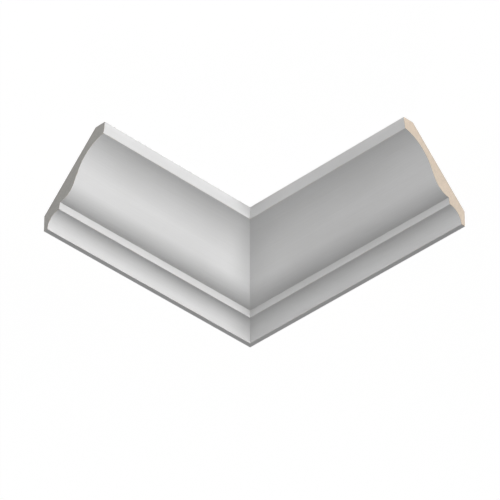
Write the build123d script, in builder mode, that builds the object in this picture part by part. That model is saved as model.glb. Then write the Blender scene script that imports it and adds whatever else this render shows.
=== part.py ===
from build123d import *
import os
from math import cos, radians, sin, tan

# Inside corner of cornice moulding: two lengths of one solid section, mitred where two walls meet.
# It is drawn the way it stands unheld, upside down, with both ceiling lands on the floor at z = 0.
# Millimetres and degrees. The origin is the middle of the floor area under the corner,
# the left wall runs along X, the right wall runs along Y, and the room lies towards +X and -Y.

# Section, as hung: "out" is away from the wall and "down" is below the ceiling
projection = 81.0  # out, from the wall to the top of the front edge
drop = 85.4  # down, from the ceiling to the underside
ceiling_land = 12.8  # width of the flat that meets the ceiling
wall_land = 17.2  # height of the flat that meets the wall
top_fillet = 12.3  # height of the upright flat just under the ceiling
small_fillet = 7.3  # height of the upright flat between the cyma and the cove
fillet_lean = 8.5  # degrees that both fillets fall back towards the wall as they go down
nose_radius = 22.5  # convex lower part of the cyma
nose_slope = 5.0  # degrees between the start of the nose and the ceiling
nose_turn = 59.0  # degrees that the nose turns through
cyma_flat = 14.0  # straight of the cyma between the nose and the hollow
cove_radius = 15.3  # quarter hollow below the small fillet
lip = 5.0  # flat underside between the cove and the wall
arris_radius = 0.4  # easing of the four outward arrises of the face

# Run of each length along its wall, from the corner to its square-cut end
left_run = 273.6
right_run = 283.8
corner_angle = 90.0  # between the two walls

# Points of the section: the first number is out, the second is down
front_edge = Vector(projection, 0)
hollow_end = Vector(projection - top_fillet * tan(radians(fillet_lean)), top_fillet)
cove_centre = Vector(lip + cove_radius, drop)
cove_head = Vector(lip + cove_radius, drop - cove_radius)
nose_start = cove_head + Vector(small_fillet * tan(radians(fillet_lean)), -small_fillet)
nose_tangent = Vector(cos(radians(nose_slope)), -sin(radians(nose_slope)))
lip_front = Vector(lip, drop)

# The walls meet above this point, and the mitre halves the angle between them
room_corner = Vector(-left_run / 2, right_run / 2)
half_corner = radians(corner_angle / 2)
mitre = Plane(origin=room_corner, z_dir=(cos(half_corner), sin(half_corner), 0))

# Section across the right-hand length, seen from the room's side of its square-cut end
with BuildSketch(Plane(room_corner, x_dir=(1, 0, 0), z_dir=(0, -1, 0))) as section:
    with BuildLine():
        nose = JernArc(nose_start, nose_tangent, radius=nose_radius, arc_size=-nose_turn)
        flat = Line(nose @ 1, nose @ 1 + cyma_flat * (nose % 1))
        TangentArc(flat @ 1, hollow_end, tangent=flat % 1)
        CenterArc(cove_centre, cove_radius, start_angle=180, arc_size=90)
        Line(cove_head, nose_start)
        Polyline(
            lip_front,
            (0, drop),
            (0, drop - wall_land),
            (projection - ceiling_land, 0),
            front_edge,
            hollow_end,
        )
    make_face()
    arrises = [
        section.vertices().sort_by_distance(point)[0]
        for point in (front_edge, hollow_end, cove_head, lip_front)
    ]
    fillet(arrises, radius=arris_radius)


def mitred_length(run):
    """One length against the right-hand wall, square at the far end and mitred at the corner."""
    with BuildPart() as length:
        extrude(section.sketch, amount=run)
        split(bisect_by=mitre, keep=Keep.BOTTOM)
    return length.part


with BuildPart() as right_length:
    add(mitred_length(right_run))

left_hand_blank = mitred_length(left_run)
with BuildPart() as left_length:
    mirror(left_hand_blank, about=mitre)

right_length.part.label = "right_length"
left_length.part.label = "left_length"

os.makedirs("parts", exist_ok=True)
export_step(left_length.part, "parts/left_length.step")
export_step(right_length.part, "parts/right_length.step")
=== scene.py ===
from math import atan2, cos, pi, radians, sin, tan

import bmesh
import bpy
from mathutils import Matrix, Quaternion, Vector


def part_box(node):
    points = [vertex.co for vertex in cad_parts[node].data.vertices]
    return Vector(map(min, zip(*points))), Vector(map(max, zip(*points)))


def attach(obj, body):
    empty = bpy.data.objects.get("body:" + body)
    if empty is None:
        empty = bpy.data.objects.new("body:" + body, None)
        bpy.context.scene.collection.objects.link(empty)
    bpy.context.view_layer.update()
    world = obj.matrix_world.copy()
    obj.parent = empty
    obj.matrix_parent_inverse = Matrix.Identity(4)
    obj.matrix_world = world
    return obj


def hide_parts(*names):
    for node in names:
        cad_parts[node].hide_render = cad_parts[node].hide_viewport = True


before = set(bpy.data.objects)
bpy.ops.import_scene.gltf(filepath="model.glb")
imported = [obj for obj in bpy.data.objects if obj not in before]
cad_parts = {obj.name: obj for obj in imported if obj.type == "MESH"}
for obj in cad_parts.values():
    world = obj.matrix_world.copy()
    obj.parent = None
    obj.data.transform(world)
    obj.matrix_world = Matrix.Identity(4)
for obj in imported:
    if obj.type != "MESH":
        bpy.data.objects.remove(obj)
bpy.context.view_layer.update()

# The inside corner of a cornice moulding, upside down on its two ceiling lands, as the solids stand.
# Metres. Board space, used for both lengths: X runs along the wall from the corner, Y is out from the
# wall and Z is down from the ceiling as hung, which is up here.
MM = 0.001

# Section of the moulding, as in the solids
PROJECTION = 81 * MM
CEILING_LAND = 12.8 * MM
WALL_LAND = 17.2 * MM
TOP_FILLET = 12.3 * MM
SMALL_FILLET = 7.3 * MM
FILLET_LEAN = radians(8.5)
NOSE_RADIUS = 22.5 * MM
NOSE_SLOPE = radians(5)
NOSE_TURN = radians(59)
CYMA_FLAT = 14 * MM
COVE_RADIUS = 15.3 * MM
LIP = 5 * MM
ARRIS = 0.4 * MM

# Steps of the curves: the cove, the nose, the hollow, a rounded arris and an eased saw edge
COVE_STEPS = 20
NOSE_STEPS = 24
HOLLOW_STEPS = 36
ARRIS_STEPS = 4
EASING_STEPS = 2

# Board taken off by the mitre saw, and how far the edges of both cuts are eased
WASTE = 2 * MM
END_ARRIS = 0.22 * MM
SEAM_ARRIS = 0.08 * MM

# A vertex this near to a plane lies in it, and an edge sharper than this stays crisp
TOUCH = 0.001 * MM
SHARP_ANGLE = radians(35)

# Material slots of a length, in the order that they are filled
PRIMED, SANDED, SAWN = range(3)

# Directions out of the saw cuts, in board space
SQUARE_CUT = Vector((1, 0, 0))
MITRE_CUT = Vector((-1, 1, 0)).normalized()

# Arcs that the blade leaves: their step, their centre (out, down), and how far they wander in radians
SAW_STEP = 2.2 * MM
SAW_CENTRE = (150 * MM, 130 * MM)
SAW_WANDER = 7

# The corner's two lengths, their walls and how long they run, from the solids
left_low, left_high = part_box("left_length")
right_low, right_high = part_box("right_length")
DROP = left_high.z
ROOM_CORNER = Vector((left_low.x, right_high.y, 0))
LEFT_RUN = left_high.x - left_low.x
RIGHT_RUN = right_high.y - right_low.y

# Board space to the frame: the left length runs along +X, the right one along -Y
LEFT_WALL = Matrix.Translation(ROOM_CORNER) @ Matrix.Diagonal((1, -1, 1, 1))
RIGHT_WALL = Matrix.Translation(ROOM_CORNER) @ Matrix.Rotation(-pi / 2, 4, "Z")

# Edges of the face, as out from the wall and down from the ceiling. Shade is painted in the quirk
FRONT_EDGE = (PROJECTION, 0)
HOLLOW_END = (PROJECTION - TOP_FILLET * tan(FILLET_LEAN), TOP_FILLET)
COVE_HEAD = (LIP + COVE_RADIUS, DROP - COVE_RADIUS)
QUIRK = (COVE_HEAD[0] + SMALL_FILLET * tan(FILLET_LEAN), COVE_HEAD[1] - SMALL_FILLET)
LIP_FRONT = (LIP, DROP)
WALL_FOOT = (0, DROP)
WALL_TOP = (0, DROP - WALL_LAND)
CEILING_BACK = (PROJECTION - CEILING_LAND, 0)

# The back: its tilt, and how far its plane passes from where the wall meets the ceiling
BACK_TILT = atan2(WALL_TOP[1], CEILING_BACK[0])
BACK_OFFSET = WALL_TOP[1] * cos(BACK_TILT)

# Primer rubbed off the arrises, as a share, least and most
ARRIS_WEAR = (0.05, 0.3)

# Primer chipped along the square cut: how far in the flakes vary, and the least that makes a chip
CHIP_SPREAD = 1.3 * MM
CHIP_START = 0.4 * MM

# Painted shade in the quirk, as a share, and how far it reaches; dust along the mitre joint, least and
# most, as a share
QUIRK_SHADE = 0.29
QUIRK_REACH = 8.5 * MM
JOINT_DUST = (0.05, 0.22)

# Primer mist on the back: the share at the primed edges, and how unevenly it drifts
MIST = 0.85
MIST_DRIFT = 7 * MM

# Colours, as linear light
FULL_PRIMER = (0.8, 0.8, 0.8, 1)
LEAN_PRIMER = (0.76, 0.759, 0.756, 1)
# Colour of the painted shade in the quirk and of the dust along the mitre joint
SHADE_AND_DUST = (0.456, 0.45, 0.444, 1)
RAW_BOARD = (0.7, 0.594, 0.486, 1)
# The left cut end: the raw board painted darker and greyer, as shade
SHADED_END_BOARD = (0.548, 0.535, 0.51, 1)
BOARD_SKIN = (0.638, 0.534, 0.424, 1)


class Reading:
    """A shader socket whose arithmetic adds Math nodes."""

    def __init__(self, finish, socket):
        self.finish = finish
        self.socket = socket

    def math(self, operation, *terms):
        return self.finish.node("Math", {"operation": operation}, dict(enumerate(terms)))

    def __add__(self, other):
        return self.math("ADD", self, other)

    def __radd__(self, other):
        return self.math("ADD", other, self)

    def __sub__(self, other):
        return self.math("SUBTRACT", self, other)

    def __rsub__(self, other):
        return self.math("SUBTRACT", other, self)

    def __mul__(self, other):
        return self.math("MULTIPLY", self, other)

    def __rmul__(self, other):
        return self.math("MULTIPLY", other, self)


class Finish:
    """The node tree of a material or of the world."""

    def __init__(self, owner):
        owner.use_nodes = True
        self.tree = owner.node_tree
        self.tree.nodes.clear()

    def node(self, kind, settings=None, sockets=None, output=0):
        """Adds a node with its settings, then the values or links of its sockets."""
        made = self.tree.nodes.new("ShaderNode" + kind)
        for name, value in (settings or {}).items():
            setattr(made, name, value)
        for name, value in (sockets or {}).items():
            if isinstance(value, Reading):
                self.tree.links.new(value.socket, made.inputs[name])
            else:
                made.inputs[name].default_value = value
        return Reading(self, made.outputs[output]) if made.outputs else made

    def noise(self, place, size, stretch=(1, 1, 1), detail=2, roughness=0.5):
        """Noise from 0 to 1, a half on average, with features about one size across, in metres."""
        scaled = self.node("VectorMath", {"operation": "MULTIPLY"}, {0: place, 1: stretch})
        return self.node(
            "TexNoise", {}, {"Vector": scaled, "Scale": 1 / size, "Detail": detail, "Roughness": roughness}
        )

    def ease(self, value, low, high, start=0, end=1):
        """Smooth change from start to end while the value goes from low to high."""
        return self.node(
            "MapRange",
            {"interpolation_type": "SMOOTHSTEP"},
            {"Value": value, "From Min": low, "From Max": high, "To Min": start, "To Max": end},
        )

    def blend(self, factor, first, second):
        """Colour between two others. The node's own colours are sockets 6 and 7, and its output 2."""
        return self.node("Mix", {"data_type": "RGBA"}, {"Factor": factor, 6: first, 7: second}, output=2)

    def surface(self, shader):
        self.node("OutputMaterial", {}, {"Surface": shader})


def board_space(finish, wall):
    """Place on the board: along the wall, out from it and down."""
    place, turn, scale = wall.inverted().decompose()
    here = finish.node("TexCoord", output="Object")
    return finish.node(
        "Mapping", {}, {"Vector": here, "Location": place, "Rotation": turn.to_euler(), "Scale": scale}
    )


def distance_to_edges(finish, board, edges):
    """Distance to the nearest of some edges that run the length of the board."""
    section = finish.node("VectorMath", {"operation": "MULTIPLY"}, {0: board, 1: (0, 1, 1)})
    nearest = None
    for out, down in edges:
        edge = {0: section, 1: (0, out, down)}
        here = finish.node("VectorMath", {"operation": "DISTANCE"}, edge, output="Value")
        nearest = nearest.math("MINIMUM", nearest, here) if nearest else here
    return nearest


def shades(colour, dark, light):
    """A darker and a lighter shade of a colour."""
    return [tuple(share * part for part in colour[:3]) + (1,) for share in (dark, light)]


def primer(name, wall, run):
    """White primer: matt, dragged along the length, thin on the arrises, chipped at the saw, dusty along
    the mitre joint, with shade painted in the quirk.
    """
    material = bpy.data.materials.new(name)
    finish = Finish(material)
    board = board_space(finish, wall)
    along, out = [finish.node("SeparateXYZ", {}, {0: board}, output=axis) for axis in "XY"]
    knife_lines = finish.noise(board, 0.9 * MM, stretch=(0.015, 1, 1), detail=3)
    stipple = finish.noise(board, 0.6 * MM, detail=3)
    cloud = finish.noise(board, 30 * MM, stretch=(0.4, 1, 1), detail=2)
    tone = finish.ease(cloud * 0.5 + knife_lines * 0.3 + stipple * 0.2, 0.35, 0.65)
    coat = finish.blend(tone, LEAN_PRIMER, FULL_PRIMER)

    arris = distance_to_edges(finish, board, (FRONT_EDGE, HOLLOW_END, COVE_HEAD, LIP_FRONT))
    scuffs = finish.noise(board, 4 * MM, stretch=(0.25, 1, 1), detail=4)
    worn = finish.ease(scuffs, 0.45, 0.65, *ARRIS_WEAR)
    rubbed = finish.ease(arris, 0.15 * MM, 0.8 * MM, 1, 0) * worn
    flakes = finish.noise(board, 1.1 * MM, detail=3)
    chip_edge = run + CHIP_START
    chips = finish.ease(along + flakes * CHIP_SPREAD, chip_edge, chip_edge + 0.1 * MM)
    bared = rubbed.math("MAXIMUM", rubbed, chips)

    # Painted shade: the primer darkens towards the quirk, the recess between the nose and the small fillet
    quirk = distance_to_edges(finish, board, (QUIRK,))
    quirk_shade = finish.ease(quirk, -1 * MM, QUIRK_REACH, QUIRK_SHADE, 0) * (0.5 + cloud)
    joint = finish.ease(along - out, 0.05 * MM, 0.3 * MM, 1, 0)
    caught = joint * finish.ease(finish.noise(board, 6 * MM, detail=3), 0.35, 0.6, *JOINT_DUST)
    colour = finish.blend(quirk_shade + caught, finish.blend(bared, coat, BOARD_SKIN), SHADE_AND_DUST)

    relief = stipple * 0.6 + knife_lines * 0.4 - chips
    bump = finish.node("Bump", {}, {"Strength": 0.5, "Distance": 0.03 * MM, "Height": relief})
    shader = finish.node(
        "BsdfPrincipled",
        {},
        {
            "Base Color": colour,
            "Roughness": finish.ease(stipple + rubbed, 0.3, 0.9, 0.6, 0.76),
            "Specular IOR Level": 0.3,
            "Normal": bump,
        },
    )
    finish.surface(shader)
    return material


def sawn_board(name, wall, colour):
    """Sawn fibreboard: fibre in layers, denser and darker at the back, with the arcs of the saw."""
    material = bpy.data.materials.new(name)
    finish = Finish(material)
    board = board_space(finish, wall)
    layers = finish.node("Mapping", {}, {"Vector": board, "Rotation": (BACK_TILT, 0, 0)})
    fibres = finish.noise(layers, 0.35 * MM, stretch=(1, 0.35, 1), detail=4, roughness=0.65)
    tufts = finish.noise(layers, 1.5 * MM, stretch=(1, 0.4, 1), detail=3)
    blade = distance_to_edges(finish, board, (SAW_CENTRE,))
    wander = finish.noise(board, 9 * MM, detail=2)
    swing = blade * (2 * pi / SAW_STEP) + wander * SAW_WANDER
    arcs = swing.math("SINE", swing) * finish.ease(wander, 0.35, 0.65)
    depth = finish.node("SeparateXYZ", {}, {0: layers}, output="Z") - BACK_OFFSET
    dense = finish.ease(depth, 0.3 * MM, 2.5 * MM, 0.22, 0)
    tone = finish.ease(fibres * 0.65 + tufts * 0.35 + arcs * 0.06 - dense, 0.32, 0.68)
    dark, light = shades(colour, 0.87, 1.09)
    relief = fibres + arcs * 0.4
    bump = finish.node("Bump", {}, {"Strength": 0.6, "Distance": 0.07 * MM, "Height": relief})
    shader = finish.node(
        "BsdfPrincipled",
        {},
        {
            "Base Color": finish.blend(tone, dark, light),
            "Roughness": finish.ease(fibres, 0.3, 0.7, 0.8, 0.92),
            "Specular IOR Level": 0.2,
            "Normal": bump,
        },
    )
    finish.surface(shader)
    return material


def sanded_board(name, wall):
    """The hidden sides: sanded along the length and misted with primer along their primed edges."""
    material = bpy.data.materials.new(name)
    finish = Finish(material)
    board = board_space(finish, wall)
    scratches = finish.noise(board, 0.5 * MM, stretch=(0.012, 1, 1), detail=4, roughness=0.6)
    fibres = finish.noise(board, 0.6 * MM, detail=4, roughness=0.65)
    cloud = finish.noise(board, 26 * MM, stretch=(0.35, 1, 1), detail=4)
    tone = finish.ease(scratches * 0.35 + fibres * 0.25 + cloud * 0.4, 0.36, 0.64)
    dark, light = shades(BOARD_SKIN, 0.88, 1.08)
    reach = distance_to_edges(finish, board, (FRONT_EDGE, WALL_FOOT))
    drift = finish.noise(board, 3 * MM, stretch=(0.5, 1, 1), detail=5, roughness=0.65)
    mist = finish.ease(reach - drift * MIST_DRIFT, -3.6 * MM, 1.2 * MM, MIST, 0)
    relief = fibres * 0.5 + scratches * 0.5
    bump = finish.node("Bump", {}, {"Strength": 0.5, "Distance": 0.05 * MM, "Height": relief})
    shader = finish.node(
        "BsdfPrincipled",
        {},
        {
            "Base Color": finish.blend(mist, finish.blend(tone, dark, light), LEAN_PRIMER),
            "Roughness": finish.ease(scratches, 0.3, 0.7, 0.66, 0.8),
            "Specular IOR Level": 0.25,
            "Normal": bump,
        },
    )
    finish.surface(shader)
    return material


def outline_of_section(mesh):
    """Draws the section as one face across the start of a board."""

    def corner(out, down):
        return mesh.verts.new((0, out, down))

    def arc(start, out, down, turn, steps):
        """Turns a corner about a centre and returns where it ends."""
        spun = bmesh.ops.spin(
            mesh, geom=[start], cent=(0, out, down), axis=(-1, 0, 0), angle=turn, steps=steps
        )
        return next(part for part in spun["geom_last"] if isinstance(part, bmesh.types.BMVert))

    wall_top = corner(*WALL_TOP)
    wall_foot = corner(*WALL_FOOT)
    lip_front = corner(*LIP_FRONT)
    cove_head = arc(lip_front, LIP + COVE_RADIUS, DROP, -pi / 2, COVE_STEPS)
    nose_start = corner(*QUIRK)
    nose_end = arc(
        nose_start,
        nose_start.co.y - NOSE_RADIUS * sin(NOSE_SLOPE),
        nose_start.co.z - NOSE_RADIUS * cos(NOSE_SLOPE),
        NOSE_TURN,
        NOSE_STEPS,
    )
    steepest = NOSE_SLOPE + NOSE_TURN
    flat_end = corner(
        nose_end.co.y + CYMA_FLAT * cos(steepest), nose_end.co.z - CYMA_FLAT * sin(steepest)
    )
    chord = Vector((HOLLOW_END[0] - flat_end.co.y, flat_end.co.z - HOLLOW_END[1]))
    half_turn = steepest - atan2(chord.y, chord.x)
    hollow_radius = chord.length / (2 * sin(half_turn))
    hollow_end = arc(
        flat_end,
        flat_end.co.y + hollow_radius * sin(steepest),
        flat_end.co.z + hollow_radius * cos(steepest),
        -2 * half_turn,
        HOLLOW_STEPS,
    )
    front_edge = corner(*FRONT_EDGE)
    ceiling_back = corner(*CEILING_BACK)
    for first, second in (
        (ceiling_back, wall_top),
        (wall_top, wall_foot),
        (wall_foot, lip_front),
        (cove_head, nose_start),
        (nose_end, flat_end),
        (hollow_end, front_edge),
        (front_edge, ceiling_back),
    ):
        mesh.edges.new((first, second))
    bmesh.ops.contextual_create(mesh, geom=mesh.edges[:])
    bmesh.ops.bevel(
        mesh,
        geom=[front_edge, hollow_end, cove_head, lip_front],
        affect="VERTICES",
        offset=ARRIS,
        segments=ARRIS_STEPS,
        profile=0.5,
        material=-1,
    )


def ease_cut(mesh, place, direction, offset):
    """Eases every edge that lies in the plane of a saw cut."""
    rim = [
        edge
        for edge in mesh.edges
        if all(abs((vert.co - place).dot(direction)) < TOUCH for vert in edge.verts)
    ]
    bmesh.ops.bevel(
        mesh,
        geom=rim,
        affect="EDGES",
        offset=offset,
        segments=EASING_STEPS,
        profile=0.5,
        material=-1,
    )


def cut_length(run):
    """One length in board space: square at its far end, mitred at the corner, its cuts eased."""
    mesh = bmesh.new()
    outline_of_section(mesh)
    bmesh.ops.translate(mesh, vec=(-WASTE, 0, 0), verts=mesh.verts[:])
    grown = bmesh.ops.extrude_face_region(mesh, geom=mesh.faces[:])
    moved = [part for part in grown["geom"] if isinstance(part, bmesh.types.BMVert)]
    bmesh.ops.translate(mesh, vec=(run + WASTE, 0, 0), verts=moved)
    cut = bmesh.ops.bisect_plane(
        mesh,
        geom=mesh.verts[:] + mesh.edges[:] + mesh.faces[:],
        plane_co=(0, 0, 0),
        plane_no=MITRE_CUT,
        clear_outer=True,
    )
    seam = [part for part in cut["geom_cut"] if isinstance(part, bmesh.types.BMEdge)]
    bmesh.ops.contextual_create(mesh, geom=seam)
    bmesh.ops.recalc_face_normals(mesh, faces=mesh.faces[:])
    ease_cut(mesh, SQUARE_CUT * run, SQUARE_CUT, END_ARRIS)
    ease_cut(mesh, Vector((0, 0, 0)), MITRE_CUT, SEAM_ARRIS)
    return mesh


def share_out_finishes(mesh):
    """Gives the saw cuts, the hidden sides and the face their material slots, in board space."""
    for face in mesh.faces:
        face.smooth = True
        facing = face.normal
        if facing.dot(SQUARE_CUT) > 0.9 or facing.dot(MITRE_CUT) > 0.99:
            face.material_index = SAWN
        elif facing.y < -0.1 or facing.z < -0.9:
            face.material_index = SANDED
        else:
            face.material_index = PRIMED


def length_of_moulding(name, wall, run, end_colour):
    """One finished length in its place against its wall."""
    mesh = cut_length(run)
    share_out_finishes(mesh)
    mesh.transform(wall)
    if wall.is_negative:
        bmesh.ops.reverse_faces(mesh, faces=mesh.faces[:])
    data = bpy.data.meshes.new(name)
    mesh.to_mesh(data)
    mesh.free()
    data.materials.append(primer(name + "_primer", wall, run))
    data.materials.append(sanded_board(name + "_back", wall))
    data.materials.append(sawn_board(name + "_end", wall, end_colour))
    piece = bpy.data.objects.new(name, data)
    bpy.context.scene.collection.objects.link(piece)
    data.set_sharp_from_angle(angle=SHARP_ANGLE)
    piece.modifiers.new("even_shading", "WEIGHTED_NORMAL").keep_sharp = True
    return piece


# The left length's cut end takes the board painted darker and greyer as shade; the right one takes the raw
# board
for node, wall, run, end_colour in (
    ("left_length", LEFT_WALL, LEFT_RUN, SHADED_END_BOARD),
    ("right_length", RIGHT_WALL, RIGHT_RUN, RAW_BOARD),
):
    piece = length_of_moulding(node + "_finished", wall, run, end_colour)
    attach(piece, "root")
    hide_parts(node)


# Floor that shows white to the camera and keeps a pale shadow
FLOOR_SIZE = 12.0
FLOOR_GAP = 0.2 * MM
FLOOR_GREY = (0.8, 0.8, 0.8, 1)
FLOOR_SHADOW = (0.1, 0.1, 0.1, 1)
FLOOR_GLOW = 0.965
WHITE = (1, 1, 1, 1)


def seen_directly(finish):
    """1 for a ray from the camera, a reflection or a clear surface, else 0."""
    camera, glossy, clear = [
        finish.node("LightPath", output=ray)
        for ray in ("Is Camera Ray", "Is Glossy Ray", "Is Transmission Ray")
    ]
    return camera.math("MAXIMUM", camera, glossy.math("MAXIMUM", glossy, clear))


def pale_floor():
    mesh = bmesh.new()
    bmesh.ops.create_grid(mesh, x_segments=1, y_segments=1, size=FLOOR_SIZE / 2)
    bmesh.ops.translate(mesh, vec=(0, 0, -FLOOR_GAP), verts=mesh.verts[:])
    data = bpy.data.meshes.new("floor")
    mesh.to_mesh(data)
    mesh.free()
    material = bpy.data.materials.new("floor")
    finish = Finish(material)
    lit = finish.node("BsdfDiffuse", {}, {"Color": FLOOR_GREY})
    faint = finish.node("BsdfDiffuse", {}, {"Color": FLOOR_SHADOW})
    white = finish.node("Emission", {}, {"Strength": FLOOR_GLOW})
    shown = finish.node("AddShader", {}, {0: faint, 1: white})
    finish.surface(finish.node("MixShader", {}, {0: seen_directly(finish), 1: lit, 2: shown}))
    data.materials.append(material)
    floor = bpy.data.objects.new("floor", data)
    bpy.context.scene.collection.objects.link(floor)


def white_world(ambient):
    """World that shows white and lights the corner only a little."""
    world = bpy.data.worlds.new("studio")
    bpy.context.scene.world = world
    finish = Finish(world)
    dim = finish.node("Background", {}, {"Color": WHITE, "Strength": ambient})
    white = finish.node("Background", {}, {"Color": WHITE, "Strength": 1})
    mixed = finish.node("MixShader", {}, {0: seen_directly(finish), 1: dim, 2: white})
    finish.node("OutputWorld", {}, {"Surface": mixed})


def towards(azimuth, elevation):
    """Direction at an azimuth from -Y towards +X and an elevation above the floor."""
    level = cos(elevation)
    return Vector((sin(azimuth) * level, -cos(azimuth) * level, sin(elevation)))


def softbox(name, azimuth, elevation, distance, size, power):
    """Square lamp that faces the middle of the corner, in degrees, metres and watts."""
    lamp = bpy.data.lights.new(name, "AREA")
    lamp.size = size
    lamp.energy = power
    box = bpy.data.objects.new(name, lamp)
    back = towards(radians(azimuth), radians(elevation))
    box.location = back * distance + Vector((0, 0, DROP / 2))
    box.rotation_mode = "QUATERNION"
    box.rotation_quaternion = back.to_track_quat("Z", "Y")
    box.visible_camera = False
    bpy.context.scene.collection.objects.link(box)


# Camera of the photograph: it looks up at the hung corner, so here it looks down, rolled by half a turn
PHOTO_SIZE = 500
VIEW_AZIMUTH = radians(45.21)
VIEW_ELEVATION = radians(35.52)
VIEW_ROLL = radians(179.83)
FOCAL_PIXELS = 4334.7
PIXEL = 0.9838 * MM
CORNER_PIXEL = (249.87, 275.63)


def photograph_camera():
    data = bpy.data.cameras.new("camera")
    data.lens = data.sensor_width * FOCAL_PIXELS / PHOTO_SIZE
    camera = bpy.data.objects.new("camera", data)
    back = towards(VIEW_AZIMUTH, VIEW_ELEVATION)
    turn = back.to_track_quat("Z", "Y") @ Quaternion((0, 0, 1), VIEW_ROLL)
    aside = (CORNER_PIXEL[0] - PHOTO_SIZE / 2) * PIXEL
    above = (PHOTO_SIZE / 2 - CORNER_PIXEL[1]) * PIXEL
    camera.location = ROOM_CORNER + turn @ Vector((-aside, -above, FOCAL_PIXELS * PIXEL))
    camera.rotation_mode = "QUATERNION"
    camera.rotation_quaternion = turn
    bpy.context.scene.collection.objects.link(camera)
    bpy.context.scene.camera = camera


pale_floor()
white_world(0.192)
softbox("front", -5, 1, 2.6, 0.4, 38)
softbox("front_right", 20, 1, 2.6, 0.4, 24)
softbox("right", 100, 1, 2.6, 0.7, 9.5)
softbox("high_right", 135, 30, 2.6, 0.7, 5.5)
softbox("near", 50, 1, 0.5, 0.15, 0.42)
softbox("back", 225, 1, 2.6, 0.3, 72)
photograph_camera()
bpy.context.scene.view_settings.view_transform = "Standard"
